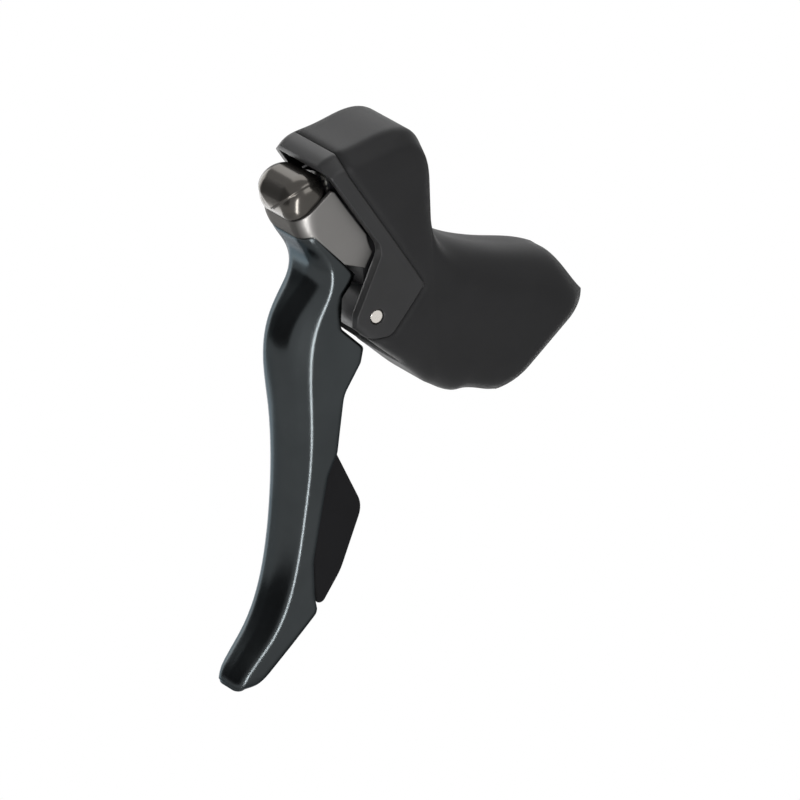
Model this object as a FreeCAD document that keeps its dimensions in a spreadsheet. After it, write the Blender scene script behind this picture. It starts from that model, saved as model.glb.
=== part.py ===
import FreeCAD, Part
import math
import os
import Sketcher
from FreeCAD import Placement, Rotation, Vector

# Road brake shift lever for the left hand
# X points to the rider's left, Y to the rear, Z up; the origin is the centre of the handlebar clamp.
# Lengths are in millimetres and angles in degrees.

doc = FreeCAD.newDocument("road_brake_shift_lever")
sheet = doc.addObject("Spreadsheet::Sheet", "Sizes")
AXIS_X = Vector(1, 0, 0)
AXIS_Y = Vector(0, 1, 0)


class Size:
    """A number that carries the sheet expression it comes from."""

    def __init__(self, number, text):
        self.number = number
        self.text = text

    def __add__(self, other):
        other = as_size(other)
        return Size(self.number + other.number, f"({self.text} + {other.text})")

    def __sub__(self, other):
        other = as_size(other)
        return Size(self.number - other.number, f"({self.text} - {other.text})")

    def __mul__(self, other):
        other = as_size(other)
        return Size(self.number * other.number, f"({self.text} * {other.text})")

    def __truediv__(self, other):
        other = as_size(other)
        return Size(self.number / other.number, f"({self.text} / {other.text})")

    def __neg__(self):
        return as_size(0) - self

    def __radd__(self, other):
        return as_size(other) + self

    def __rsub__(self, other):
        return as_size(other) - self

    def __rmul__(self, other):
        return as_size(other) * self


def as_size(item):
    if isinstance(item, Size):
        return item
    return Size(float(item), f"({float(item)})")


def cosine(angle):
    return Size(math.cos(math.radians(angle.number)), f"cos({angle.text})")


def sine(angle):
    return Size(math.sin(math.radians(angle.number)), f"sin({angle.text})")


rows_used = 0


def size(name, number):
    """Write one driving dimension into the sheet and give it back as a Size."""
    global rows_used
    rows_used += 1
    sheet.set(f"A{rows_used}", name)
    sheet.set(f"B{rows_used}", str(number))
    sheet.setAlias(f"B{rows_used}", name)
    return Size(float(number), f"Sizes.{name}")


def table(name, columns, rows):
    """Write the stations of a lofted form into the sheet, one cell for each value."""
    stations = []
    for count, row in enumerate(rows, start=1):
        stations.append({c: size(f"{name}{count}_{c}", v) for c, v in zip(columns, row)})
    return stations


# Places
pivot_forward = size("pivot_forward", 59)
pivot_rise = size("pivot_rise", 21)
bar_slope = size("bar_slope", 40)
shift_forward = size("shift_forward", 19.5)
shift_rise = size("shift_rise", 39)
shift_tilt = size("shift_tilt", 20)
nose_forward = size("nose_forward", 20.1)
nose_rise = size("nose_rise", 39.2)
nose_tilt = size("nose_tilt", 52.5)

# Handlebar clamp
bar_radius = size("bar_radius", 12)
band_wall = size("band_wall", 0.8)
band_width = size("band_width", 14)
band_clearance = size("band_clearance", 0.2)
nut_low = size("nut_low", 14)
nut_height = size("nut_height", 5)
nut_length = size("nut_length", 13)
chamber_top = size("chamber_top", 23)
bolt_radius = size("bolt_radius", 2.95)
bolt_seat = size("bolt_seat", 25.5)
bolt_head_radius = size("bolt_head_radius", 4.7)
bolt_head_height = size("bolt_head_height", 5)
bolt_hex = size("bolt_hex", 5)
bolt_hex_depth = size("bolt_hex_depth", 3)
bolt_tip = size("bolt_tip", 13)
bolt_clearance = size("bolt_clearance", 0.3)
bracket_back = size("bracket_back", 0.5)
hood_back = size("hood_back", 3.2)

# Hood and bracket
hood_skin = size("hood_skin", 1.9)
hood_fit = size("hood_fit", 0.05)
seam_gap = size("seam_gap", 0.3)
slot_roof = size("slot_roof", 49.7)
slot_back = size("slot_back", 9.5)
ear_end = size("ear_end", 7.2)
rim_front = size("rim_front", 7.2)
full_width = size("full_width", 50)
fit_gap = size("fit_gap", 0.01)
run_gap = size("run_gap", 0.04)

# Brake casing channel
casing_side = size("casing_side", 8.8)
casing_radius = size("casing_radius", 2.6)
casing_start_y = size("casing_start_y", 14)
casing_start_z = size("casing_start_z", 10.4)
casing_fall = size("casing_fall", 14)
casing_length = size("casing_length", 90)
wire_radius = size("wire_radius", 1)

# Brake pivot
axle_radius = size("axle_radius", 2.5)
axle_half = size("axle_half", 15.7)
axle_chamfer = size("axle_chamfer", 0.5)
bush_wall = size("bush_wall", 1)
bush_length = size("bush_length", 5)
bush_flange = size("bush_flange", 4.4)
bush_flange_wall = size("bush_flange_wall", 0.35)
side_play = size("side_play", 0.05)
hub_radius = size("hub_radius", 6.8)
hub_half = size("hub_half", 12.3)
slot_half = hub_half + bush_flange_wall + side_play
spring_room = size("spring_room", 5.6)
spring_room_half = size("spring_room_half", 3.6)
spring_radius = size("spring_radius", 4.2)
spring_wire = size("spring_wire", 0.6)
spring_pitch = size("spring_pitch", 1.4)
spring_turns = size("spring_turns", 4)

# Brake cable hook
hook_y = size("hook_y", 3.5)
hook_z = size("hook_z", 13)
hook_radius = size("hook_radius", 3.2)
hook_boss_wall = size("hook_boss_wall", 1.9)
hook_length = size("hook_length", 6.4)
hook_slot = size("hook_slot", 1.1)

# Shift unit, measured along the shift axis
collar_radius = size("collar_radius", 6.2)
collar_front = size("collar_front", 0)
collar_back = size("collar_back", 4.5)
cup_radius = size("cup_radius", 10.5)
cup_wall = size("cup_wall", 0.8)
cup_front = size("cup_front", 5.2)
cup_floor = size("cup_floor", 17.5)
cup_back = size("cup_back", 20)
shift_axle_radius = size("shift_axle_radius", 3)
shift_axle_head = size("shift_axle_head", 5)
shift_axle_head_wall = size("shift_axle_head_wall", 1.6)
shift_head_room = size("shift_head_room", 5.3)
shift_head_depth = size("shift_head_depth", 15)
nut_gap = size("nut_gap", 0.3)
axle_nut_height = size("axle_nut_height", 3)
axle_nut_hex = size("axle_nut_hex", 9)
axle_nut_bore = size("axle_nut_bore", 2.45)
ratchet_tip = size("ratchet_tip", 7)
ratchet_root = size("ratchet_root", 6)
ratchet_front = size("ratchet_front", 5.1)
ratchet_back = size("ratchet_back", 7.5)
ratchet_teeth = size("ratchet_teeth", 18)
reel_front = size("reel_front", 7.7)
reel_back = size("reel_back", 17.3)
reel_radius = size("reel_radius", 7.2)
reel_groove = size("reel_groove", 14.7)
reel_groove_half = size("reel_groove_half", 0.9)
reel_groove_radius = size("reel_groove_radius", 6.4)
nipple_radius = size("nipple_radius", 1.4)
nipple_depth = size("nipple_depth", 4)
nipple_place = size("nipple_place", 5)
pawl_pivot_x = size("pawl_pivot_x", 5.55)
pawl_pivot_y = size("pawl_pivot_y", 6.17)
pawl_pin_radius = size("pawl_pin_radius", 0.7)
pawl_boss = size("pawl_boss", 1.08)
pawl_front = size("pawl_front", 5.2)
pawl_back = size("pawl_back", 7.4)
pin_seat = size("pin_seat", 1.3)
shift_casing_radius = size("shift_casing_radius", 2.1)
shift_boss_radius = size("shift_boss_radius", 3.1)
shift_boss_end = size("shift_boss_end", 15.5)
shift_boss_start = size("shift_boss_start", 7.5)
shift_casing_stop = size("shift_casing_stop", 11.5)

# Lever base web
web_inner = size("web_inner", 10)
web_outer = size("web_outer", 5.8)

# Blade, name plate and nose
plate_wall = size("plate_wall", 1.4)
plate_gap = size("plate_gap", 0.15)
plate_top_rear = size("plate_top_rear", 7.6)
plate_top_front = size("plate_top_front", 11)
blade_wall = size("blade_wall", 2.4)
tongue_half = size("tongue_half", 4.6)
tongue_head_half = size("tongue_head_half", 7)
nose_half = size("nose_half", 11.8)
nose_radius = size("nose_radius", 8.6)
nose_round = size("nose_round", 6.8)
nose_wall = size("nose_wall", 1.3)
nose_step = size("nose_step", 0.7)
nose_foot = size("nose_foot", 0.6)
nose_lap = size("nose_lap", 3.2)
ridge_side = size("ridge_side", 9.4)
ridge_forward = size("ridge_forward", 24.4)
ridge_rise = size("ridge_rise", 44.1)
ridge_turn = size("ridge_turn", 38)
RIDGE_ALONG = 0.42
RIDGE_ACROSS = 0.91

# Shift paddle
paddle_along = size("paddle_along", 21.2)
paddle_pin_radius = size("paddle_pin_radius", 1.8)
paddle_pin_front = size("paddle_pin_front", 12.3)
paddle_pin_head = size("paddle_pin_head", 3)
paddle_pin_head_wall = size("paddle_pin_head_wall", 0.8)
paddle_hub_radius = size("paddle_hub_radius", 4.6)
paddle_hub_front = size("paddle_hub_front", 15.7)
paddle_hub_back = size("paddle_hub_back", 19.2)
paddle_inner = size("paddle_inner", 1.5)
paddle_wall = size("paddle_wall", 3.2)

# Hood sections, each a box with two bevels on top that leans over a point of the underside;
# soften is the share of each bevel that its edges are rounded by
hood = table("hood", ("low_y", "low_z", "rise", "lean", "half", "top_round", "low_round", "soften"), (
    (-10, -1.5, 53.7, 98.6, 15.4, 7.4, 4, 0.3),
    (-3, -6.8, 62.1, 96.0, 16, 7.6, 4, 0.3),
    (7, -15.6, 73.3, 93.1, 16.2, 7.8, 5, 0.3),
    (15, -22.6, 79.6, 90.6, 16, 8, 6, 0.35),
    (20.5, -27.6, 79, 91.3, 15.6, 8.5, 7, 0.4),
    (24.5, -30.5, 65.6, 94.2, 15.1, 10, 9, 0.6),
    (28.5, -33, 56.2, 94.6, 15.2, 12, 10, 0.8),
    (33, -35.2, 48.5, 84.1, 15.8, 13, 12, 0.95),
    (38.2, -37.2, 48.8, 64.1, 16.6, 14, 14, 0.97),
    (41.6, -38.2, 50.4, 51.7, 17, 14.8, 14.8, 0.97),
    (44.4, -38.6, 47.6, 40.0, 17.2, 14.2, 15.5, 0.97),
    (50.8, -46.3, 47.6, 40.0, 17.2, 14.2, 15.5, 0.97),
))
BEVEL = 2 - math.sqrt(2)

# Blade sections, each a channel hung from its front point: the face runs flat to its crest, sweeps back
# to a crease on the outer side and goes on as a flange, and turns in shortly on the inner side
blade = table("blade", (
    "front", "rise", "tilt", "half", "crest", "crease", "sweep", "edge", "depth", "turn", "corner"), (
    (25.4, 32.7, 20, 12.3, 8.2, 4.1, 6.8, 6.8, 23, 9, 7),
    (22.6, 27, 20, 12.2, 8.1, 4.1, 6.8, 6.6, 21, 9, 7),
    (19, 21.5, 17, 12, 7.4, 4.2, 7.5, 5, 19, 8.5, 6.6),
    (17, 16, 13, 11.7, 6, 4, 9, 3, 18, 8, 6.2),
    (17.7, 10.8, 9, 11.3, 4.6, 4.6, 11, 2, 18, 8, 6),
    (21, 5.2, 5, 10.8, 3.6, 6.2, 12, 1.6, 20, 8.4, 5.8),
    (25, -2, 2, 10.4, 3, 7.4, 12, 1.6, 23, 8.6, 5.6),
    (27.2, -14, 0, 10.2, 2.6, 7.6, 12, 1.6, 28, 8.6, 5.5),
    (25.9, -30, 0, 9.8, 2.6, 6.6, 12, 1.6, 22, 8.4, 5.5),
    (25.1, -47, 0, 9.5, 2.6, 5.4, 12, 1.6, 17, 8, 5.5),
    (25.9, -64, 0, 9.2, 2.8, 4, 12, 1.6, 14, 7.6, 5.4),
    (27.9, -80, 4, 9, 3.2, 3.2, 12, 1.6, 13, 7.2, 5.2),
    (30.6, -91, 10, 8.8, 3.4, 2.8, 11, 1.6, 17, 7.2, 5),
    (35.8, -102, 14, 8.2, 3.4, 2.6, 9, 1.6, 22, 7, 4.6),
    (42.4, -110.5, 18, 7.4, 3, 2.4, 7, 1.4, 22, 6.6, 4.2),
    (45.6, -119, 20, 6.4, 2.6, 2, 6, 1.4, 20, 6, 4),
))

# Name plate sections, channels with two round front corners
plate = table("plate", ("front", "rise", "tilt", "half", "depth", "turn", "corner"), (
    (19, 21.5, 20, 12.1, 26, 9, 7),
    (22.6, 27, 20, 12.2, 26, 9, 7),
    (25.4, 32.7, 20, 12.3, 26, 9, 7),
    (26, 40, 20, 12.3, 26, 9, 7),
    (25.4, 47, 20, 12.3, 26, 9, 7),
))

doc.recompute()


def bind(item, path, amount):
    """Tie a property to the sheet, or set it when it is a plain number."""
    amount = as_size(amount)
    if "Sizes." in amount.text:
        item.setExpression(path, amount.text)
    return amount.number


def new_body(name):
    body = doc.addObject("PartDesign::Body", name)
    body.Label = name
    return body


def place(item, x=0, y=0, z=0, turn=0, axis=AXIS_X):
    """Put an object at x, y, z, turned about one axis, with every value tied to the sheet."""
    x, y, z, turn = as_size(x), as_size(y), as_size(z), as_size(turn)
    item.Placement = Placement(Vector(x.number, y.number, z.number), Rotation(axis, turn.number))
    for path, amount in (("Base.x", x), ("Base.y", y), ("Base.z", z), ("Rotation.Angle", turn)):
        bind(item, f"Placement.{path}", amount)


def at_pivot(item):
    place(item, 0, -pivot_forward, pivot_rise)


def at_unit(item):
    place(item, 0, -pivot_forward - shift_forward, pivot_rise + shift_rise, 90 - shift_tilt)


def at_clamp(item):
    place(item, 0, 0, 0, 90 + bar_slope)


def sketch_on(body, name, plane, lift=0):
    """A sketch on one of the body's own origin planes, raised by lift along its normal."""
    drawing = body.newObject("Sketcher::SketchObject", name)
    support = [feature for feature in body.Origin.OriginFeatures if feature.Role == plane]
    drawing.AttachmentSupport = [(support[0], "")]
    drawing.MapMode = "FlatFace"
    lift = as_size(lift)
    drawing.AttachmentOffset = Placement(Vector(0, 0, lift.number), Rotation())
    bind(drawing, "AttachmentOffset.Base.z", lift)
    return drawing


def section_on(body, name, x, y, z, turn):
    """A sketch on the XY plane, moved to x, y, z and turned about X."""
    drawing = sketch_on(body, name, "XY_Plane")
    x, y, z, turn = as_size(x), as_size(y), as_size(z), as_size(turn)
    drawing.AttachmentOffset = Placement(Vector(x.number, y.number, z.number), Rotation(AXIS_X, turn.number))
    for path, amount in (("Base.x", x), ("Base.y", y), ("Base.z", z), ("Rotation.Angle", turn)):
        bind(drawing, f"AttachmentOffset.{path}", amount)
    return drawing


def fix_point(drawing, geometry, end, across, up):
    """Hold a point of a sketch at across, up."""
    for kind, amount, axis in (("DistanceX", as_size(across), -2), ("DistanceY", as_size(up), -1)):
        if amount.number == 0 and "Sizes." not in amount.text:
            drawing.addConstraint(Sketcher.Constraint("PointOnObject", geometry, end, axis))
            continue
        index = drawing.addConstraint(Sketcher.Constraint(kind, -1, 1, geometry, end, amount.number))
        bind(drawing, f"Constraints[{index}]", amount)


def fix_radius(drawing, geometry, radius):
    radius = as_size(radius)
    index = drawing.addConstraint(Sketcher.Constraint("Radius", geometry, radius.number))
    bind(drawing, f"Constraints[{index}]", radius)


def circle(drawing, across, up, radius):
    across, up = as_size(across), as_size(up)
    centre = Vector(across.number, up.number, 0)
    geometry = drawing.addGeometry(Part.Circle(centre, Vector(0, 0, 1), as_size(radius).number))
    fix_point(drawing, geometry, 3, across, up)
    fix_radius(drawing, geometry, radius)


def outline(drawing, corners):
    """A closed outline through corners (across, up) or (across, up, radius of a tangent arc)."""
    spots = [Vector(as_size(c[0]).number, as_size(c[1]).number, 0) for c in corners]
    count = len(corners)
    entries, exits, arcs = [], [], []
    for i, corner in enumerate(corners):
        here, before, after = spots[i], spots[i - 1], spots[(i + 1) % count]
        if len(corner) < 3:
            entries.append(here)
            exits.append(here)
            arcs.append(None)
            continue
        radius = as_size(corner[2]).number
        back = (before - here).normalize()
        ahead = (after - here).normalize()
        half = back.getAngle(ahead) / 2
        reach = radius / math.tan(half)
        middle = here + (back + ahead).normalize() * (radius / math.sin(half))
        entries.append(here + back * reach)
        exits.append(here + ahead * reach)
        left_turn = back.cross(ahead).z < 0
        first, last = (entries[-1], exits[-1]) if left_turn else (exits[-1], entries[-1])
        start = math.atan2(first.y - middle.y, first.x - middle.x)
        stop = math.atan2(last.y - middle.y, last.x - middle.x)
        ring = Part.Circle(middle, Vector(0, 0, 1), radius)
        arcs.append((Part.ArcOfCircle(ring, start, stop), left_turn))
    lines = []
    for i in range(count):
        lines.append(drawing.addGeometry(Part.LineSegment(exits[i], entries[(i + 1) % count])))
    for i, corner in enumerate(corners):
        before, after = lines[i - 1], lines[i]
        if arcs[i] is None:
            drawing.addConstraint(Sketcher.Constraint("Coincident", before, 2, after, 1))
            fix_point(drawing, after, 1, corner[0], corner[1])
            continue
        arc, left_turn = arcs[i]
        bend = drawing.addGeometry(arc)
        entry_end, exit_end = (1, 2) if left_turn else (2, 1)
        drawing.addConstraint(Sketcher.Constraint("Tangent", before, 2, bend, entry_end))
        drawing.addConstraint(Sketcher.Constraint("Tangent", bend, exit_end, after, 1))
        fix_radius(drawing, bend, corner[2])
        spot = drawing.addGeometry(Part.Point(spots[i]), True)
        drawing.addConstraint(Sketcher.Constraint("PointOnObject", spot, 1, before))
        drawing.addConstraint(Sketcher.Constraint("PointOnObject", spot, 1, after))
        fix_point(drawing, spot, 1, corner[0], corner[1])


def hexagon(drawing, flats):
    corner = flats / math.sqrt(3)
    points = []
    for k in range(6):
        angle = math.radians(60 * k)
        points.append((corner * round(math.cos(angle), 9), corner * round(math.sin(angle), 9)))
    outline(drawing, points)


def extrude(body, kind, drawing, length, symmetric=False, reverse=False):
    feature = body.newObject(f"PartDesign::{kind}", f"{drawing.Name}_{kind.lower()}")
    feature.Profile = drawing
    feature.SideType = "Symmetric" if symmetric else "One side"
    feature.Reversed = reverse
    feature.Length = as_size(length).number
    bind(feature, "Length", length)
    return feature


def spin(body, kind, drawing, axis):
    feature = body.newObject(f"PartDesign::{kind}", f"{drawing.Name}_{kind.lower()}")
    feature.Profile = drawing
    feature.ReferenceAxis = (drawing, [axis])
    feature.Angle = 360
    return feature


def loft(body, drawings):
    feature = body.newObject("PartDesign::AdditiveLoft", f"{body.Name}_loft")
    feature.Profile = drawings[0]
    feature.Sections = drawings[1:]
    return feature


def side_block(name, corners, width):
    """A block with a side outline in Y and Z, spread evenly to both sides, hung on the brake pivot."""
    body = new_body(name)
    drawing = sketch_on(body, f"{name}_side", "YZ_Plane")
    outline(drawing, corners)
    extrude(body, "Pad", drawing, width, symmetric=True)
    at_pivot(body)
    return body


def side_slab(name, corners, start, width):
    """A slab with a side outline in Y and Z that starts at X = start and goes outward."""
    body = new_body(name)
    drawing = sketch_on(body, f"{name}_side", "YZ_Plane", start)
    outline(drawing, corners)
    extrude(body, "Pad", drawing, width)
    return body


def rod(name, radius, start, length, axis="XY_Plane", across=0, up=0):
    """A round rod that rises from start along the normal of an origin plane."""
    body = new_body(name)
    drawing = sketch_on(body, f"{name}_round", axis, start)
    circle(drawing, across, up, radius)
    extrude(body, "Pad", drawing, length)
    return body


def turned(name, corners):
    """A body turned about its Z axis from an outline of radius and height."""
    body = new_body(name)
    drawing = sketch_on(body, f"{name}_half", "XZ_Plane")
    outline(drawing, corners)
    spin(body, "Revolution", drawing, "V_Axis")
    return body


def joined(name, items):
    fused = doc.addObject("Part::MultiFuse", name)
    fused.Shapes = items
    return fused


def shared(name, items):
    common = doc.addObject("Part::MultiCommon", name)
    common.Shapes = items
    return common


def less(name, base, tool):
    cut = doc.addObject("Part::Cut", name)
    cut.Base = base
    cut.Tool = tool
    return cut


nodes = []


def keep(item, name):
    """List an object as a finished subcomponent."""
    item.Label = name
    nodes.append(item)
    return item


# Hood and bracket forms
def hood_form(name, inset):
    """The whole grip as one loft, set in by the given skin."""
    body = new_body(name)
    drawings = []
    for count, row in enumerate(hood, start=1):
        drawing = section_on(body, f"{name}_{count}", 0, row["low_y"], row["low_z"], row["lean"])
        half = row["half"] - inset
        top = row["rise"] - inset
        low = as_size(inset)
        bevel = (row["top_round"] - inset) * BEVEL
        edge = (row["top_round"] - inset) * row["soften"]
        foot = row["low_round"] - inset
        outline(drawing, (
            (half, low, foot), (half, top - bevel, edge), (half - bevel, top, edge),
            (-half + bevel, top, edge), (-half, top - bevel, edge), (-half, low, foot),
        ))
        drawings.append(drawing)
    loft(body, drawings)
    at_pivot(body)
    return body


def seam_zone(name, gap):
    """The part of the grip in front of the seam, where the bracket shows."""
    return side_block(name, (
        (-60, 75),
        (-13.8 + gap, 75),
        (-13.8 + gap, 62),
        (-11.3 + gap, 49.6, 12),
        (17.4 + gap, 6.9 - gap * 0.5, 1),
        (5 + gap, -ear_end - gap, 4),
        (-60, -ear_end - gap),
    ), full_width)


grip_form = hood_form("grip_form", as_size(0))
core_form = hood_form("core_form", hood_skin)
lining_form = hood_form("lining_form", hood_skin - hood_fit)
rim_zone = seam_zone("rim_zone", as_size(0))
open_zone = seam_zone("open_zone", seam_gap)
front_cut = side_block("front_cut", (
    (-70, slot_roof),
    (-17.2, slot_roof, 2.5),
    (2.2, 21.5, 6),
    (-rim_front, 1, 5),
    (-rim_front, -4.5, 3.5),
    (-1.5, -9.8),
    (6, -22),
    (-70, -22),
), full_width)
lever_slot = side_block("lever_slot", (
    (-70, slot_roof),
    (2, slot_roof, 2),
    (slot_back - 1.5, 43, 4),
    (slot_back, 8, 4),
    (13, -50),
    (-70, -50),
), slot_half * 2)

# Clamp recesses in the bracket
bar_room = rod("bar_room", bar_radius, as_size(-60), as_size(120))
at_clamp(bar_room)


def behind_bar(name, depth):
    """Everything more than depth behind the bar axis."""
    body = new_body(name)
    drawing = sketch_on(body, f"{name}_plan", "XY_Plane")
    outline(drawing, ((-30, -40), (30, -40), (30, -depth), (-30, -depth)))
    extrude(body, "Pad", drawing, 160, symmetric=True)
    at_clamp(body)
    return body


rear_room = behind_bar("rear_room", bracket_back)
rim_room = behind_bar("rim_room", hood_back)
band_room_half = bar_radius + band_wall + band_clearance
band_room = new_body("band_room")
drawing = sketch_on(band_room, "band_room_plan", "XY_Plane")
outline(drawing, (
    (-band_room_half, -2), (band_room_half, -2),
    (band_room_half, chamber_top), (-band_room_half, chamber_top)))
extrude(band_room, "Pad", drawing, band_width + band_clearance * 2, symmetric=True)
at_clamp(band_room)
bolt_room = turned("bolt_room", (
    (0, 10), (bolt_radius + bolt_clearance, 10), (bolt_radius + bolt_clearance, bolt_seat),
    (bolt_head_radius + bolt_clearance * 2, bolt_seat), (bolt_head_radius + bolt_clearance * 2, 70), (0, 70)))
place(bolt_room, 0, 0, 0, bar_slope)

# Brake casing channel, a wide bore behind a small wire hole
casing_room = turned("casing_room", (
    (0, -12), (wire_radius, -12), (wire_radius, 0), (casing_radius, 0),
    (casing_radius, casing_length), (0, casing_length)))
place(
    casing_room, -casing_side, -pivot_forward + casing_start_y, pivot_rise + casing_start_z, -90 - casing_fall)

axle_room = rod("axle_room", axle_radius + fit_gap, as_size(-25), as_size(50), "YZ_Plane")
at_pivot(axle_room)

rim = shared("rim", [grip_form, rim_zone])
bracket_blank = joined("bracket_blank", [core_form, rim])
bracket_rooms = joined("bracket_rooms", [
    front_cut, lever_slot, bar_room, rear_room, band_room, bolt_room, casing_room, axle_room])
keep(less("bracket", bracket_blank, bracket_rooms), "bracket")
bar_clear = rod("bar_clear", bar_radius + seam_gap, as_size(-60), as_size(120))
at_clamp(bar_clear)
hood_rooms = joined("hood_rooms", [
    lining_form, open_zone, front_cut, lever_slot, bar_clear, rim_room, casing_room])
keep(less("hood_cover", grip_form, hood_rooms), "hood_cover")

# Clamp band, a half ring with two legs that hold the nut
band_ring = new_body("band_ring")
drawing = sketch_on(band_ring, "band_ring_plan", "XY_Plane")
circle(drawing, 0, 0, bar_radius + band_wall)
extrude(band_ring, "Pad", drawing, band_width, symmetric=True)
drawing = sketch_on(band_ring, "band_leg_plan", "XY_Plane")
band_face = bar_radius + band_wall
nut_top = nut_low + nut_height
outline(drawing, ((-band_face, 0), (band_face, 0), (band_face, nut_top), (-band_face, nut_top)))
extrude(band_ring, "Pad", drawing, band_width, symmetric=True)
drawing = sketch_on(band_ring, "band_bar_plan", "XY_Plane")
circle(drawing, 0, 0, bar_radius)
extrude(band_ring, "Pocket", drawing, band_width * 2, symmetric=True)
drawing = sketch_on(band_ring, "band_gap_plan", "XY_Plane")
outline(drawing, ((-bar_radius, 0), (bar_radius, 0), (bar_radius, chamber_top), (-bar_radius, chamber_top)))
extrude(band_ring, "Pocket", drawing, band_width * 2, symmetric=True)
at_clamp(band_ring)
keep(band_ring, "clamp_band")

clamp_nut = new_body("clamp_nut_block")
drawing = sketch_on(clamp_nut, "clamp_nut_plan", "XY_Plane")
nut_half = bar_radius - fit_gap
outline(drawing, ((-nut_half, nut_low), (nut_half, nut_low), (nut_half, nut_top), (-nut_half, nut_top)))
extrude(clamp_nut, "Pad", drawing, nut_length, symmetric=True)
drawing = sketch_on(clamp_nut, "clamp_nut_thread", "XZ_Plane")
circle(drawing, 0, 0, bolt_radius + run_gap)
extrude(clamp_nut, "Pocket", drawing, chamber_top * 2, symmetric=True)
at_clamp(clamp_nut)
keep(clamp_nut, "clamp_nut")

clamp_bolt = turned("clamp_bolt_turned", (
    (0, bolt_tip), (bolt_radius, bolt_tip), (bolt_radius, bolt_seat), (bolt_head_radius, bolt_seat),
    (bolt_head_radius, bolt_seat + bolt_head_height, 0.8), (0, bolt_seat + bolt_head_height)))
drawing = sketch_on(clamp_bolt, "clamp_bolt_hex", "XY_Plane", bolt_seat + bolt_head_height - bolt_hex_depth)
hexagon(drawing, bolt_hex)
extrude(clamp_bolt, "Pocket", drawing, bolt_hex_depth + 1, reverse=True)
place(clamp_bolt, 0, 0, 0, bar_slope)
keep(clamp_bolt, "clamp_bolt")

# Brake pivot parts
axle = turned("axle_turned", (
    (0, -axle_half), (axle_radius - axle_chamfer, -axle_half), (axle_radius, -axle_half + axle_chamfer),
    (axle_radius, axle_half - axle_chamfer), (axle_radius - axle_chamfer, axle_half), (0, axle_half)))
place(axle, 0, -pivot_forward, pivot_rise, 90, AXIS_Y)
keep(axle, "lever_axle")

for name, side in (("axle_bush_outer", 90), ("axle_bush_inner", -90)):
    bush = turned(f"{name}_turned", (
        (axle_radius + run_gap, hub_half - bush_length),
        (axle_radius + bush_wall, hub_half - bush_length),
        (axle_radius + bush_wall, hub_half),
        (bush_flange, hub_half),
        (bush_flange, hub_half + bush_flange_wall),
        (axle_radius + run_gap, hub_half + bush_flange_wall)))
    place(bush, 0, -pivot_forward, pivot_rise, side, AXIS_Y)
    keep(bush, name)

spring = new_body("brake_spring_coil")
drawing = sketch_on(spring, "brake_spring_wire", "XZ_Plane")
circle(drawing, spring_radius, -spring_pitch * spring_turns / 2, spring_wire)
coil = spring.newObject("PartDesign::AdditiveHelix", "brake_spring_helix")
coil.Profile = drawing
coil.ReferenceAxis = (drawing, ["V_Axis"])
coil.Mode = "pitch-turns-angle"
coil.Pitch = spring_pitch.number
coil.Turns = spring_turns.number
bind(coil, "Pitch", spring_pitch)
bind(coil, "Turns", spring_turns)
place(spring, 0, -pivot_forward, pivot_rise, 90, AXIS_Y)
keep(spring, "brake_return_spring")

# Lever base, the casting that turns on the brake pivot and carries the shift unit
cup = rod("base_cup", cup_radius, -cup_back, cup_back - cup_front)
at_unit(cup)
cup_room = rod("base_cup_room", cup_radius - cup_wall, -cup_floor, cup_floor)
at_unit(cup_room)
cup_bore = rod("base_cup_bore", shift_axle_radius + fit_gap, -cup_back - 5, cup_back)
at_unit(cup_bore)
head_room = rod("base_head_room", shift_head_room, -cup_back - shift_head_depth, shift_head_depth)
at_unit(head_room)
stop_pin_bore = rod("stop_pin_bore", pawl_pin_radius + fit_gap, -cup_floor - pin_seat, as_size(5), "XY_Plane",
                    -pawl_pivot_x, pawl_pivot_y)
at_unit(stop_pin_bore)
web = side_slab("base_web", (
    (2, 2), (1.5, 12), (-2.5, 22), (-4.5, 26), (1, 44), (5, 43), (7, 36), (8.4, 20), (6, 2)),
    -web_inner, web_inner + web_outer)
at_pivot(web)
hub = rod("base_hub", hub_radius, -hub_half, hub_half * 2, "YZ_Plane")
at_pivot(hub)
hook_boss = rod("base_hook_boss", hook_radius + hook_boss_wall, -web_inner, web_inner - 3, "YZ_Plane",
                hook_y, hook_z)
at_pivot(hook_boss)
hub_bore = rod("base_hub_bore", axle_radius + bush_wall + fit_gap, -hub_half - 1, hub_half * 2 + 2, "YZ_Plane")
at_pivot(hub_bore)
hub_room = rod("base_hub_room", spring_room, -spring_room_half, spring_room_half * 2, "YZ_Plane")
at_pivot(hub_room)
hub_window = side_block("base_hub_window", ((-9, -9), (0, -9), (0, 9), (-9, 9)), spring_room_half * 2)
hook_room = rod("base_hook_room", hook_radius + run_gap, -web_inner - 1, web_inner - 2.5, "YZ_Plane",
                hook_y, hook_z)
at_pivot(hook_room)
hook_slot_room = side_slab("base_hook_slot", (
    (hook_y, hook_z + 1.5), (hook_y + 9, hook_z + 6), (hook_y + 9, hook_z - 7), (hook_y, hook_z - 1.5)),
    -casing_side - hook_slot, hook_slot * 2)
at_pivot(hook_slot_room)
port = rod("base_port", shift_boss_radius, -shift_boss_end, shift_boss_end - shift_boss_start, "YZ_Plane",
           -reel_groove_radius, -reel_groove)
at_unit(port)
port_casing = rod("base_port_casing", shift_casing_radius, -shift_boss_end - 1,
                  shift_boss_end - shift_casing_stop + 1, "YZ_Plane", -reel_groove_radius, -reel_groove)
at_unit(port_casing)
port_wire = rod("base_port_wire", wire_radius, -shift_boss_end, shift_boss_end, "YZ_Plane",
                -reel_groove_radius, -reel_groove)
at_unit(port_wire)
base_blank = joined("base_blank", [cup, web, hub, hook_boss, port])
base_rooms = joined("base_rooms", [
    cup_room, cup_bore, head_room, stop_pin_bore, hub_bore, hub_room, hub_window, hook_room, hook_slot_room,
    port_casing, port_wire])
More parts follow.
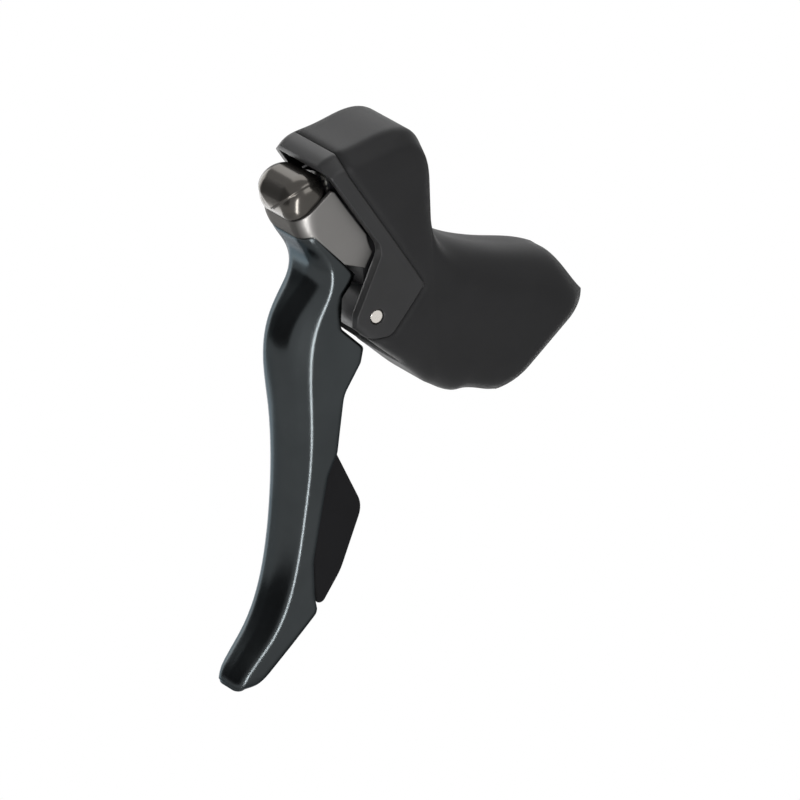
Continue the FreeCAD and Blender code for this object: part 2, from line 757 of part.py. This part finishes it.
keep(less("lever_base", base_blank, base_rooms), "lever_base")

# Brake cable hook, a barrel with a wire hole
hook = new_body("hook_barrel")
drawing = sketch_on(hook, "hook_round", "YZ_Plane", -casing_side - hook_length / 2)
circle(drawing, 0, 0, hook_radius)
extrude(hook, "Pad", drawing, hook_length)
drawing = sketch_on(hook, "hook_wire", "XZ_Plane")
circle(drawing, -casing_side, 0, wire_radius)
extrude(hook, "Pocket", drawing, hook_radius * 4, symmetric=True)
drawing = sketch_on(hook, "hook_nipple", "XZ_Plane", 0.8)
circle(drawing, -casing_side, 0, nipple_radius * 1.3)
extrude(hook, "Pocket", drawing, hook_radius * 2, reverse=True)
place(hook, 0, -pivot_forward + hook_y, pivot_rise + hook_z)
keep(hook, "brake_cable_hook")

# Shift unit
shift_axle = turned("shift_axle_turned", (
    (0, -cup_back - shift_axle_head_wall), (shift_axle_head, -cup_back - shift_axle_head_wall),
    (shift_axle_head, -cup_back), (shift_axle_radius, -cup_back),
    (shift_axle_radius, collar_front + nut_gap * 0.5), (axle_nut_bore - fit_gap, collar_front + nut_gap * 0.5),
    (axle_nut_bore - fit_gap, collar_front + nut_gap + axle_nut_height),
    (0, collar_front + nut_gap + axle_nut_height)))
at_unit(shift_axle)
keep(shift_axle, "shift_axle")

axle_nut = new_body("axle_nut_hex")
drawing = sketch_on(axle_nut, "axle_nut_plan", "XY_Plane", collar_front + nut_gap)
hexagon(drawing, axle_nut_hex)
extrude(axle_nut, "Pad", drawing, axle_nut_height)
drawing = sketch_on(axle_nut, "axle_nut_thread", "XY_Plane", collar_front + nut_gap)
circle(drawing, 0, 0, axle_nut_bore)
extrude(axle_nut, "Pocket", drawing, axle_nut_height * 2, reverse=True)
at_unit(axle_nut)
keep(axle_nut, "axle_nut")

ratchet = rod("ratchet_disc", ratchet_root, -ratchet_back, ratchet_back - ratchet_front)
drawing = sketch_on(ratchet, "ratchet_tooth", "XY_Plane", -ratchet_back)
outline(drawing, (
    (0, ratchet_root - 0.8), (0, ratchet_tip), (1.85, ratchet_root - 0.3), (1.4, ratchet_root - 0.8)))
tooth = extrude(ratchet, "Pad", drawing, ratchet_back - ratchet_front)
teeth = ratchet.newObject("PartDesign::PolarPattern", "ratchet_teeth")
teeth.Originals = [tooth]
teeth.Axis = ([f for f in ratchet.Origin.OriginFeatures if f.Role == "Z_Axis"][0], [""])
teeth.Angle = 360
teeth.Occurrences = int(ratchet_teeth.number)
bind(teeth, "Occurrences", ratchet_teeth)
ratchet.Tip = teeth
drawing = sketch_on(ratchet, "ratchet_bore", "XY_Plane")
circle(drawing, 0, 0, shift_axle_radius + run_gap)
extrude(ratchet, "Pocket", drawing, cup_back * 2, symmetric=True)
at_unit(ratchet)
keep(ratchet, "ratchet_wheel")

reel = turned("reel_turned", (
    (shift_axle_radius + run_gap, -reel_back), (reel_radius, -reel_back),
    (reel_radius, -reel_groove - reel_groove_half), (reel_groove_radius, -reel_groove - reel_groove_half),
    (reel_groove_radius, -reel_groove + reel_groove_half), (reel_radius, -reel_groove + reel_groove_half),
    (reel_radius, -reel_front), (shift_axle_radius + run_gap, -reel_front)))
drawing = sketch_on(reel, "reel_nipple", "XY_Plane", -reel_front)
circle(drawing, nipple_place, 0, nipple_radius)
extrude(reel, "Pocket", drawing, nipple_depth)
at_unit(reel)
keep(reel, "cable_reel")


def pawl(name, side):
    """A pawl whose nose drops into a ratchet gap; side -1 sits above the wheel, +1 below it."""
    body = rod(f"{name}_boss", pawl_boss, -pawl_back, pawl_back - pawl_front, "XY_Plane",
               pawl_pivot_x * side, pawl_pivot_y * -side)
    drawing = sketch_on(body, f"{name}_arm", "XY_Plane", -pawl_back)
    arm = ((-5.75, 7.2), (-0.15, 8.2), (-0.15, 6.65), (-2.2, 7.5), (-4.6, 6.1), (-5.4, 5.3))
    outline(drawing, [(x * -side, y * -side) for x, y in arm])
    extrude(body, "Pad", drawing, pawl_back - pawl_front)
    drawing = sketch_on(body, f"{name}_bore", "XY_Plane")
    circle(drawing, pawl_pivot_x * side, pawl_pivot_y * -side, pawl_pin_radius + run_gap)
    extrude(body, "Pocket", drawing, cup_back * 2, symmetric=True)
    at_unit(body)
    return keep(body, name)


pawl("stop_pawl", -1)
pawl("feed_pawl", 1)
stop_pin = rod("stop_pin_rod", pawl_pin_radius, -cup_floor - pin_seat, cup_floor + pin_seat - ratchet_front,
               "XY_Plane", -pawl_pivot_x, pawl_pivot_y)
at_unit(stop_pin)
keep(stop_pin, "stop_pawl_pin")
feed_pin = rod("feed_pin_rod", pawl_pin_radius, -ratchet_back, ratchet_back - collar_back + pin_seat,
               "XY_Plane", pawl_pivot_x, -pawl_pivot_y)
at_unit(feed_pin)
keep(feed_pin, "feed_pawl_pin")


# Lever blade, name plate and nose
def channel_section(row, skin):
    """Corners of a plain channel with a long outer flange and a short inner turn."""
    half, depth, turn, corner = row["half"], row["depth"], row["turn"], row["corner"]
    return (
        (half, -depth), (half, 0, corner), (-half, 0, corner), (-half, -turn),
        (-half + skin, -turn), (-half + skin, -skin, corner - skin),
        (half - skin, -skin, corner - skin), (half - skin, -depth))


def creased_section(row, skin):
    """Corners of a channel whose face sweeps back to a crease on the outer side."""
    half, depth, turn, corner = row["half"], row["depth"], row["turn"], row["corner"]
    crest, crease = row["crest"], row["crease"]
    inward = skin * 0.4
    return (
        (half, -depth), (half, -crease, row["edge"]), (crest, 0, row["sweep"]),
        (-half, 0, corner), (-half, -turn), (-half + skin, -turn),
        (-half + skin, -skin, corner - skin), (crest - inward, -skin, row["sweep"] - skin),
        (half - skin, -crease - inward), (half - skin, -depth))


def channel_form(name, rows, section, skin):
    """A channel lofted through its sections, hung on the brake pivot."""
    body = new_body(name)
    drawings = []
    for count, row in enumerate(rows, start=1):
        drawing = section_on(body, f"{name}_{count}", 0, -row["front"], row["rise"], 180 - row["tilt"])
        outline(drawing, section(row, skin))
        drawings.append(drawing)
    loft(body, drawings)
    at_pivot(body)
    return body


blade_form = channel_form("blade_form", blade, creased_section, blade_wall)
plate_form = channel_form("plate_form", plate, channel_section, plate_wall)
head_zone = side_block("head_zone", (
    (10, -1.8 - plate_gap), (-20.6, 29.6 - plate_gap, 2), (-24.5, 27.4 - plate_gap, 2), (-50, 27.4 - plate_gap),
    (-50, 70), (10, 70)), full_width)


def under_nose(along):
    """A point just under the flat foot of the nose cap, at a distance along it from its centre."""
    drop = nose_foot + plate_gap
    across = -nose_forward + along * sine(nose_tilt) + drop * cosine(nose_tilt)
    up = nose_rise + along * cosine(nose_tilt) - drop * sine(nose_tilt)
    return across, up


plate_zone = side_block("plate_zone", (
    under_nose(plate_top_rear), under_nose(-plate_top_front), (-24.5, 27.4, 2), (-20.6, 29.6, 2),
    (-5.5, 14.2, 2), (-2.6, 13.9, 1.5), (0.9, 20.4, 3), (-1.2, 25.8, 4), (-7.4, 34.4)), full_width)
keep(shared("name_plate", [plate_form, plate_zone]), "name_plate")

# The side outline of the blade, with the tab on its flange and the round tip
blade_side = side_block("blade_side", (
    (-60, 50), (0, 50), (-4.6, 15.5), (-6.8, 10.4, 2), (-9.5, 6.8, 2.5), (-9.6, -3.6, 2.5), (-1.2, -11.6, 1.8),
    (-2.2, -16.6, 3), (-8.1, -26, 10), (-10.4, -45, 6), (-13.8, -52, 8), (-18.9, -79.5, 12), (-18.4, -91, 6),
    (-17.2, -96.4, 3), (-26.3, -105.6), (-38.2, -117.5, 5), (-45.2, -118.8, 5), (-49, -108),
    (-60, -100)), full_width)
blade_front = new_body("blade_front")
drawing = sketch_on(blade_front, "blade_front_view", "XZ_Plane")
outline(drawing, (
    (-20, 60), (-20, -90), (-9.2, -100, 6), (-6.6, -119.2, 6.2),
    (6.6, -119.2, 6.2), (9.2, -100, 6), (20, -90), (20, 60)))
extrude(blade_front, "Pad", drawing, full_width * 4, symmetric=True)
at_pivot(blade_front)
blade_trimmed = shared("blade_trimmed", [blade_form, blade_side, blade_front])
blade_shell = less("blade_shell", blade_trimmed, head_zone)
tongue = new_body("blade_tongue")
drawing = sketch_on(tongue, "blade_tongue_side", "YZ_Plane")
outline(drawing, (
    (-5, -collar_back), (-11, -collar_back, 1), (-13.5, -9.5), (-17, -15.3), (-33, -15.3), (-34.7, -11.3),
    (-29.3, -12), (-20.5, -11.5), (-14.5, -6.2), (-10, -1.6), (-5, -0.9)))
extrude(tongue, "Pad", drawing, tongue_half * 2, symmetric=True)
drawing = sketch_on(tongue, "blade_tongue_head", "YZ_Plane")
outline(drawing, ((-4, -collar_back), (-9, -collar_back), (-9, -1.4), (-4, -1.4)))
extrude(tongue, "Pad", drawing, tongue_head_half * 2, symmetric=True)
at_unit(tongue)
collar = rod("blade_collar", collar_radius, -collar_back, collar_back + collar_front)
at_unit(collar)
collar_bore = rod("blade_collar_bore", shift_axle_radius + run_gap, -collar_back - 1,
                  collar_back + collar_front + 2)
at_unit(collar_bore)
feed_pin_bore = rod("feed_pin_bore", pawl_pin_radius + fit_gap, -collar_back - 1, 1 + pin_seat, "XY_Plane",
                    pawl_pivot_x, -pawl_pivot_y)
at_unit(feed_pin_bore)
paddle_pin_bore = rod("paddle_pin_bore", paddle_pin_radius + fit_gap, as_size(-30), 30 - paddle_pin_front,
                      "XY_Plane", 0, -paddle_along)
at_unit(paddle_pin_bore)
blade_blank = joined("blade_blank", [blade_shell, tongue, collar])
blade_rooms = joined("blade_rooms", [collar_bore, feed_pin_bore, paddle_pin_bore])
keep(less("lever_blade", blade_blank, blade_rooms), "lever_blade")



# Nose cap, a round shell with a ridge on each side above a lower band
def barrel(name, inset):
    """A barrel across the nose with well rounded ends, set in by the given amount."""
    half, radius, curve = nose_half - inset, nose_radius - inset, nose_round - inset
    body = turned(name, ((0, -half), (radius, -half, curve), (radius, half, curve), (0, half)))
    place(body, 0, -pivot_forward - nose_forward, pivot_rise + nose_rise, 90, AXIS_Y)
    return body


def below_ridge(name, side):
    """Everything under the slanting plane of one ridge."""
    body = new_body(name)
    drawing = sketch_on(body, f"{name}_plan", "XY_Plane")
    outline(drawing, ((-40, -40), (40, -40), (40, 40), (-40, 40)))
    extrude(body, "Pad", drawing, 40, reverse=True)
    place(body, ridge_side * side, -pivot_forward - ridge_forward, pivot_rise + ridge_rise, ridge_turn,
          Vector(RIDGE_ALONG, -RIDGE_ACROSS * side, 0))
    return body


nose_dome = less("nose_dome", barrel("nose_outside", as_size(0)), joined("nose_ridges", [
    below_ridge("ridge_outer", 1), below_ridge("ridge_inner", -1)]))
nose_blank = joined("nose_blank", [nose_dome, barrel("nose_band", nose_step)])
nose_under = new_body("nose_under")
drawing = sketch_on(nose_under, "nose_under_plan", "XY_Plane", -nose_foot)
outline(drawing, ((-40, -40), (40, -40), (40, 40), (-40, 40)))
extrude(nose_under, "Pad", drawing, 40, reverse=True)
place(nose_under, 0, -pivot_forward - nose_forward, pivot_rise + nose_rise, 90 - nose_tilt)
nose_back = rod("nose_back", as_size(30), as_size(-60), 60 - nose_lap)
at_unit(nose_back)
collar_room = rod("nose_collar_room", collar_radius + plate_gap, -collar_back - 1,
                  collar_back + collar_front + 1 + plate_gap)
at_unit(collar_room)
nose_rooms = joined("nose_rooms", [
    barrel("nose_room", nose_step + nose_wall), nose_under, nose_back, collar_room])
keep(less("nose_cap", nose_blank, nose_rooms), "nose_cap")

# Shift paddle behind the blade
paddle_pin = turned("paddle_pin_turned", (
    (0, -paddle_hub_back - run_gap - paddle_pin_head_wall),
    (paddle_pin_head, -paddle_hub_back - run_gap - paddle_pin_head_wall),
    (paddle_pin_head, -paddle_hub_back - run_gap), (paddle_pin_radius, -paddle_hub_back - run_gap),
    (paddle_pin_radius, -paddle_pin_front), (0, -paddle_pin_front)))
paddle_y = -pivot_forward - shift_forward - paddle_along * sine(shift_tilt)
paddle_z = pivot_rise + shift_rise - paddle_along * cosine(shift_tilt)
place(paddle_pin, 0, paddle_y, paddle_z, 90 - shift_tilt)
keep(paddle_pin, "paddle_pivot_pin")

paddle_hub = rod("paddle_hub", paddle_hub_radius, -paddle_hub_back, paddle_hub_back - paddle_hub_front,
                 "XY_Plane", 0, -paddle_along)
at_unit(paddle_hub)
paddle_bore = rod("paddle_bore", paddle_pin_radius + run_gap, as_size(-30), as_size(25), "XY_Plane",
                  0, -paddle_along)
at_unit(paddle_bore)
fin = side_slab("paddle_fin", (
    (-10.9, 9.2), (-11.2, 12.6), (-12.4, 13), (-12.6, 7), (-14.5, -5), (-16, -20), (-15.5, -45), (-16, -55),
    (-17.5, -70), (-19.5, -84), (-17.5, -92), (-13.6, -97, 2), (-6.2, -86.5, 20), (1.9, -66.5, 8), (-9.5, -43.5, 12),
    (-10, -20), (-9, -5), (-8.5, 5)), paddle_inner, paddle_wall)
at_pivot(fin)
paddle_blank = joined("paddle_blank", [paddle_hub, fin])
keep(less("shift_paddle", paddle_blank, paddle_bore), "shift_paddle")

doc.recompute()

# Checks and files
for item in doc.Objects:
    if "Invalid" in item.State or "Error" in item.State:
        raise RuntimeError(f"{item.Name} did not build: {item.State}")
os.makedirs("parts", exist_ok=True)
for item in nodes:
    shape = item.Shape
    if shape.isNull() or not shape.isValid():
        raise RuntimeError(f"{item.Label} has no valid shape")
    print(item.Label, "solids", len(shape.Solids), "volume", round(shape.Volume, 1))
    shape.exportStep(f"parts/{item.Label}.step")
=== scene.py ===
import math

import bpy
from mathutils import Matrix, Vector


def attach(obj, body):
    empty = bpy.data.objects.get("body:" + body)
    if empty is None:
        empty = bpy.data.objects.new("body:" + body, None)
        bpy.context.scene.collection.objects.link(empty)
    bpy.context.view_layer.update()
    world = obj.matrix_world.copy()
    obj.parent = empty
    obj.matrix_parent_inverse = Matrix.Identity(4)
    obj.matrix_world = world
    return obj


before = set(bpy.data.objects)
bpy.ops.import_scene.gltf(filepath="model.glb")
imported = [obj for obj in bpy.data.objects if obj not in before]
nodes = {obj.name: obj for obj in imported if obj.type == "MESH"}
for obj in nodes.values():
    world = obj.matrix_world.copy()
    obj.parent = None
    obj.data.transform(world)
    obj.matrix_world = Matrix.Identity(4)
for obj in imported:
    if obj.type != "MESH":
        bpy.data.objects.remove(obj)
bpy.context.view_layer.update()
scene = bpy.context.scene
scene.view_settings.view_transform = "Standard"

# Settings that all finishes share
PATCH_SCALE = 60.0
PATCH_DETAIL = 3.0
PATCH_STOPS = (0.3, 0.7)
GRAIN_DETAIL = 4.0
GRAIN_RANGE = (0.25, 0.75)
NOISE_ROUGHNESS = 0.55
BEVEL_SAMPLES = 8


# Node helpers
def new_material(name):
    """A node material, with its tree and its Principled shader."""
    material = bpy.data.materials.new(name)
    material.use_nodes = True
    tree = material.node_tree
    return material, tree, tree.nodes["Principled BSDF"]


def set_inputs(node, **values):
    """Set inputs by name, with an underscore for each space."""
    for key, value in values.items():
        node.inputs[key.replace("_", " ")].default_value = value


def object_coords(tree, scale=(1, 1, 1)):
    """Object coordinates, stretched by a scale."""
    coords = tree.nodes.new("ShaderNodeTexCoord")
    mapping = tree.nodes.new("ShaderNodeMapping")
    set_inputs(mapping, Scale=scale)
    tree.links.new(coords.outputs["Object"], mapping.inputs["Vector"])
    return mapping.outputs["Vector"]


def noise(tree, vector, scale, detail):
    texture = tree.nodes.new("ShaderNodeTexNoise")
    set_inputs(texture, Scale=scale, Detail=detail, Roughness=NOISE_ROUGHNESS)
    tree.links.new(vector, texture.inputs["Vector"])
    return texture.outputs["Fac"]


def ramp(tree, source, low, high):
    """A colour that runs from low to high between the two patch stops."""
    node = tree.nodes.new("ShaderNodeValToRGB")
    for element, place, colour in zip(node.color_ramp.elements, PATCH_STOPS, (low, high)):
        element.position = place
        element.color = (*colour, 1)
    tree.links.new(source, node.inputs["Fac"])
    return node.outputs["Color"]


def map_range(tree, source, start, end, **values):
    """A map range node over a source, from start to end."""
    node = tree.nodes.new("ShaderNodeMapRange")
    set_inputs(node, From_Min=start, From_Max=end, **values)
    tree.links.new(source, node.inputs["Value"])
    return node


def math_of(tree, operation, first, second):
    node = tree.nodes.new("ShaderNodeMath")
    node.operation = operation
    tree.links.new(first, node.inputs[0])
    tree.links.new(second, node.inputs[1])
    return node.outputs["Value"]


def mix_shaders(tree, factor, first, second):
    node = tree.nodes.new("ShaderNodeMixShader")
    tree.links.new(factor, node.inputs["Fac"])
    tree.links.new(first, node.inputs[1])
    tree.links.new(second, node.inputs[2])
    return node.outputs["Shader"]


def bump(tree, shader, source, strength, distance, soften):
    """A fine grain over normals that are rounded off within the soften radius."""
    node = tree.nodes.new("ShaderNodeBump")
    set_inputs(node, Strength=strength, Distance=distance)
    tree.links.new(source, node.inputs["Height"])
    if soften:
        rounded = tree.nodes.new("ShaderNodeBevel")
        rounded.samples = BEVEL_SAMPLES
        set_inputs(rounded, Radius=soften)
        tree.links.new(rounded.outputs["Normal"], node.inputs["Normal"])
    tree.links.new(node.outputs["Normal"], shader.inputs["Normal"])


def tone(colour, share):
    return tuple(channel * share for channel in colour)


def surface(name, colour, vary, rough, grain, bump_by, stretch=(1, 1, 1), soften=0, **fixed):
    """A finish whose colour drifts in soft patches over a fine grain.

    vary is the share by which the colour drifts, rough the range of roughness, grain the
    scale of the fine noise, bump_by its strength and depth, soften the radius of rounded
    edges in the shading, and fixed the other inputs of the shader. Lengths are in metres.
    """
    material, tree, shader = new_material(name)
    vector = object_coords(tree, stretch)
    patches = noise(tree, vector, PATCH_SCALE, PATCH_DETAIL)
    fine = noise(tree, vector, grain, GRAIN_DETAIL)
    base = ramp(tree, patches, tone(colour, 1 - vary), tone(colour, 1 + vary))
    tree.links.new(base, shader.inputs["Base Color"])
    roughness = map_range(tree, fine, *GRAIN_RANGE, To_Min=rough[0], To_Max=rough[1])
    tree.links.new(roughness.outputs["Result"], shader.inputs["Roughness"])
    bump(tree, shader, fine, *bump_by, soften)
    set_inputs(shader, **fixed)
    return material


def paint_front_shade(material, colour, inner, outer):
    """Blend from a darker front to the own base colour between two distances along +X; the
    darker front is painted shade.
    """
    tree = material.node_tree
    base = tree.nodes["Principled BSDF"].inputs["Base Color"]
    own = base.links[0].from_socket
    parts = tree.nodes.new("ShaderNodeSeparateXYZ")
    tree.links.new(object_coords(tree), parts.inputs["Vector"])
    side = map_range(tree, parts.outputs["X"], inner, outer)
    blend = tree.nodes.new("ShaderNodeMix")
    blend.data_type = "RGBA"
    set_inputs(blend, A=(*colour, 1))
    tree.links.new(side.outputs["Result"], blend.inputs["Factor"])
    tree.links.new(own, blend.inputs["B"])
    tree.links.new(blend.outputs["Result"], base)


# Finishes
hood_rubber = surface(
    "hood_rubber", colour=(0.0115, 0.0115, 0.012), vary=0.08, rough=(0.46, 0.56),
    grain=2600.0, bump_by=(0.14, 0.00006), soften=0.005,
    Specular_IOR_Level=0.10, Sheen_Weight=0.10, Sheen_Roughness=0.3)
bracket_resin = surface(
    "bracket_resin", colour=(0.018, 0.018, 0.0185), vary=0.08, rough=(0.40, 0.48),
    grain=3200.0, bump_by=(0.10, 0.00004), soften=0.001, Specular_IOR_Level=0.15)
paddle_resin = surface(
    "paddle_resin", colour=(0.005, 0.005, 0.0055), vary=0.08, rough=(0.50, 0.60),
    grain=3000.0, bump_by=(0.12, 0.00005), soften=0.001, Specular_IOR_Level=0.06)
blade_lacquer = surface(
    "blade_lacquer", colour=(0.043, 0.048, 0.050), vary=0.08, rough=(0.17, 0.22),
    grain=5200.0, bump_by=(0.02, 0.00002), soften=0.0026,
    Metallic=1.0, Specular_Tint=(0.4, 0.41, 0.42, 1))
nose_gloss = surface(
    "nose_gloss", colour=(0.058, 0.054, 0.049), vary=0.06, rough=(0.18, 0.22),
    grain=4200.0, bump_by=(0.02, 0.00002), soften=0.001,
    Metallic=0.8, Specular_Tint=(0.6, 0.6, 0.6, 1))
plate_satin = surface(
    "plate_satin", colour=(0.158, 0.154, 0.149), vary=0.05, rough=(0.40, 0.48),
    grain=3000.0, bump_by=(0.05, 0.00002), stretch=(1, 0.25, 0.25), soften=0.0006,
    Metallic=0.9, Specular_Tint=(0.35, 0.35, 0.35, 1))
# Painted shade: the front of the plate is painted darker than its side, to tone down its lit
# reflections
paint_front_shade(plate_satin, colour=(0.070, 0.068, 0.065), inner=0.0085, outer=0.0105)
turned_steel = surface(
    "turned_steel", colour=(0.62, 0.59, 0.55), vary=0.06, rough=(0.24, 0.34),
    grain=3000.0, bump_by=(0.06, 0.00003), Metallic=1.0)
zinc_steel = surface(
    "zinc_steel", colour=(0.50, 0.50, 0.49), vary=0.08, rough=(0.30, 0.42),
    grain=2000.0, bump_by=(0.08, 0.00003), Metallic=1.0)
stainless_band = surface(
    "stainless_band", colour=(0.60, 0.59, 0.57), vary=0.06, rough=(0.26, 0.40),
    grain=1800.0, bump_by=(0.08, 0.00003), stretch=(0.1, 1, 1), Metallic=1.0)
hard_steel = surface(
    "hard_steel", colour=(0.33, 0.33, 0.32), vary=0.08, rough=(0.28, 0.40),
    grain=2500.0, bump_by=(0.06, 0.00003), Metallic=1.0)
black_casting = surface(
    "black_casting", colour=(0.016, 0.016, 0.017), vary=0.10, rough=(0.42, 0.56),
    grain=1600.0, bump_by=(0.20, 0.00008), Specular_IOR_Level=0.3)
bush_resin = surface(
    "bush_resin", colour=(0.045, 0.045, 0.048), vary=0.08, rough=(0.40, 0.50),
    grain=2500.0, bump_by=(0.08, 0.00004))
reel_resin = surface(
    "reel_resin", colour=(0.58, 0.57, 0.53), vary=0.04, rough=(0.38, 0.48),
    grain=2500.0, bump_by=(0.06, 0.00004))

finishes = {
    "hood_cover": hood_rubber,
    "bracket": bracket_resin,
    "shift_paddle": paddle_resin,
    "lever_blade": blade_lacquer,
    "nose_cap": nose_gloss,
    "name_plate": plate_satin,
    "lever_axle": turned_steel,
    "shift_axle": turned_steel,
    "paddle_pivot_pin": turned_steel,
    "stop_pawl_pin": turned_steel,
    "feed_pawl_pin": turned_steel,
    "brake_cable_hook": turned_steel,
    "clamp_bolt": zinc_steel,
    "clamp_nut": zinc_steel,
    "axle_nut": zinc_steel,
    "clamp_band": stainless_band,
    "ratchet_wheel": hard_steel,
    "stop_pawl": hard_steel,
    "feed_pawl": hard_steel,
    "brake_return_spring": hard_steel,
    "lever_base": black_casting,
    "axle_bush_outer": bush_resin,
    "axle_bush_inner": bush_resin,
    "cable_reel": reel_resin,
}
for name, material in finishes.items():
    node = nodes[name]
    node.data.materials.clear()
    node.data.materials.append(material)

# Rounded end of the blade's tip: a rounded block, its front along the blade's front face
# and its end along the blade's end face
TIP_CENTRE = Vector((-0.0003, -0.1001, -0.0943))
TIP_ACROSS = Vector((1.0, 0.0, 0.0))
TIP_FRONT = Vector((0.0, -0.9165, 0.4))
TIP_ALONG = Vector((0.0, -0.6, -0.8))
TIP_HALF = (0.0054, 0.0028, 0.0045)
TIP_ROUND = 0.0026
TIP_SEGMENTS = 8
BLOCK_FACES = [
    (0, 1, 3, 2), (4, 6, 7, 5), (0, 4, 5, 1), (2, 3, 7, 6), (0, 2, 6, 4), (1, 5, 7, 3)]
tip_corners = []
for across in (-TIP_HALF[0], TIP_HALF[0]):
    for front in (-TIP_HALF[1], TIP_HALF[1]):
        for along in (-TIP_HALF[2], TIP_HALF[2]):
            tip_corners.append(
                TIP_CENTRE + TIP_ACROSS * across + TIP_FRONT * front + TIP_ALONG * along)
tip_mesh = bpy.data.meshes.new("blade_tip_end")
tip_mesh.from_pydata(tip_corners, [], BLOCK_FACES)
tip_mesh.shade_smooth()
tip = bpy.data.objects.new("blade_tip_end", tip_mesh)
scene.collection.objects.link(tip)
rounding = tip.modifiers.new("rounding", "BEVEL")
rounding.width = TIP_ROUND
rounding.segments = TIP_SEGMENTS
rounding.limit_method = "NONE"
tip_mesh.materials.append(blade_lacquer)
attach(tip, "main_lever")


# Placing of the camera, the lamps and the screen
def face_point(item, point, azimuth, elevation, distance):
    """Put an item at a distance from a point and turn it to that point.

    The angles are in degrees. Azimuth 0 is in front of the object and 90 on its outer side.
    """
    a, e = math.radians(azimuth), math.radians(elevation)
    away = Vector((math.sin(a) * math.cos(e), -math.cos(a) * math.cos(e), math.sin(e)))
    item.location = point + away * distance
    item.rotation_mode = "QUATERNION"
    item.rotation_quaternion = (-away).to_track_quat("-Z", "Y")
    scene.collection.objects.link(item)


# Camera at the photo's angle
CAMERA_TARGET = Vector((0.0279, -0.0586, -0.0024))
CAMERA_AZIMUTH = 56.4
CAMERA_ELEVATION = 22.5
CAMERA_DISTANCE = 4.0
FRAME_WIDTH = 0.244
SENSOR_WIDTH = 36
CLIP_END = 100
camera_data = bpy.data.cameras.new("camera")
camera_data.sensor_width = SENSOR_WIDTH
camera_data.lens = SENSOR_WIDTH * CAMERA_DISTANCE / FRAME_WIDTH
camera_data.clip_end = CLIP_END
camera = bpy.data.objects.new("camera", camera_data)
face_point(camera, CAMERA_TARGET, CAMERA_AZIMUTH, CAMERA_ELEVATION, CAMERA_DISTANCE)
scene.camera = camera


# White floor with a grey middle, and a white world
def rectangle(name, half_x, half_y):
    """A flat rectangle round its own origin."""
    corners = [
        (-half_x, -half_y, 0), (half_x, -half_y, 0), (half_x, half_y, 0), (-half_x, half_y, 0)]
    mesh = bpy.data.meshes.new(name)
    mesh.from_pydata(corners, [], [(0, 1, 2, 3)])
    return bpy.data.objects.new(name, mesh)


def seen_directly(tree):
    """One where the ray comes from the camera or from a mirror or glass, else zero."""
    path = tree.nodes.new("ShaderNodeLightPath")
    total = path.outputs["Is Camera Ray"]
    for ray in ("Is Glossy Ray", "Is Transmission Ray"):
        total = math_of(tree, "MAXIMUM", total, path.outputs[ray])
    return total


MIDDLE = Vector((0.0, -0.06, 0.01))
FLOOR_Z = -0.42
FLOOR_HALF = 12.0
FLOOR_GREY = (0.62, 0.62, 0.62, 1)
SHADOW_RADIUS = (0.30, 0.58)
floor = rectangle("floor", FLOOR_HALF, FLOOR_HALF)
floor.location = (0, MIDDLE.y, FLOOR_Z)
scene.collection.objects.link(floor)
floor_material, tree, shader = new_material("floor")
set_inputs(shader, Base_Color=FLOOR_GREY, Roughness=0.9, Specular_IOR_Level=0.1)
coords = tree.nodes.new("ShaderNodeTexCoord")
reach = tree.nodes.new("ShaderNodeVectorMath")
reach.operation = "LENGTH"
tree.links.new(coords.outputs["Object"], reach.inputs[0])
outside = map_range(tree, reach.outputs["Value"], *SHADOW_RADIUS)
outside.interpolation_type = "SMOOTHSTEP"
share = math_of(tree, "MULTIPLY", outside.outputs["Result"], seen_directly(tree))
glow = tree.nodes.new("ShaderNodeEmission")
floor_shader = mix_shaders(tree, share, shader.outputs["BSDF"], glow.outputs["Emission"])
tree.links.new(floor_shader, tree.nodes["Material Output"].inputs["Surface"])
floor.data.materials.append(floor_material)

WORLD_COLOUR = (0.9, 0.9, 0.9, 1)
WORLD_STRENGTH = 0.15
WHITE = (1, 1, 1, 1)
world = bpy.data.worlds.new("studio")
scene.world = world
world.use_nodes = True
tree = world.node_tree
dim = tree.nodes["Background"]
set_inputs(dim, Color=WORLD_COLOUR, Strength=WORLD_STRENGTH)
white = tree.nodes.new("ShaderNodeBackground")
set_inputs(white, Color=WHITE)
world_shader = mix_shaders(
    tree, seen_directly(tree), dim.outputs["Background"], white.outputs["Background"])
tree.links.new(world_shader, tree.nodes["World Output"].inputs["Surface"])


# Lamps, and a dark screen that only reflections show
def softbox(name, azimuth, elevation, distance, width, height, power):
    """A rectangular lamp that faces the middle of the object."""
    data = bpy.data.lights.new(name, "AREA")
    data.shape = "RECTANGLE"
    data.size = width
    data.size_y = height
    data.energy = power
    face_point(bpy.data.objects.new(name, data), MIDDLE, azimuth, elevation, distance)


def screen(name, azimuth, elevation, distance, width, height):
    """A dark upright screen that gives gloss surfaces something dark to reflect."""
    item = rectangle(name, width / 2, height / 2)
    face_point(item, MIDDLE, azimuth, elevation, distance)
    item.visible_camera = False
    item.data.materials.append(surface(
        f"{name}_cloth", colour=(0.16, 0.16, 0.165), vary=0.1, rough=(0.8, 0.9),
        grain=400.0, bump_by=(0.1, 0.0002), Specular_IOR_Level=0.1))


# Name, azimuth, elevation, distance, width, height and power of each lamp
LAMPS = (
    ("overhead", 236, 50, 1.0, 1.0, 1.0, 9.0),
    ("fill", 112, 48, 1.2, 0.8, 0.8, 7.0),
    ("crease_strip", 54, -10, 0.5, 0.08, 0.54, 3.8),
    ("side_strip", -80, -6, 0.6, 0.40, 0.74, 4.4),
)
for lamp in LAMPS:
    softbox(*lamp)
screen("dark_screen", azimuth=-22, elevation=13, distance=0.8, width=1.1, height=0.72)
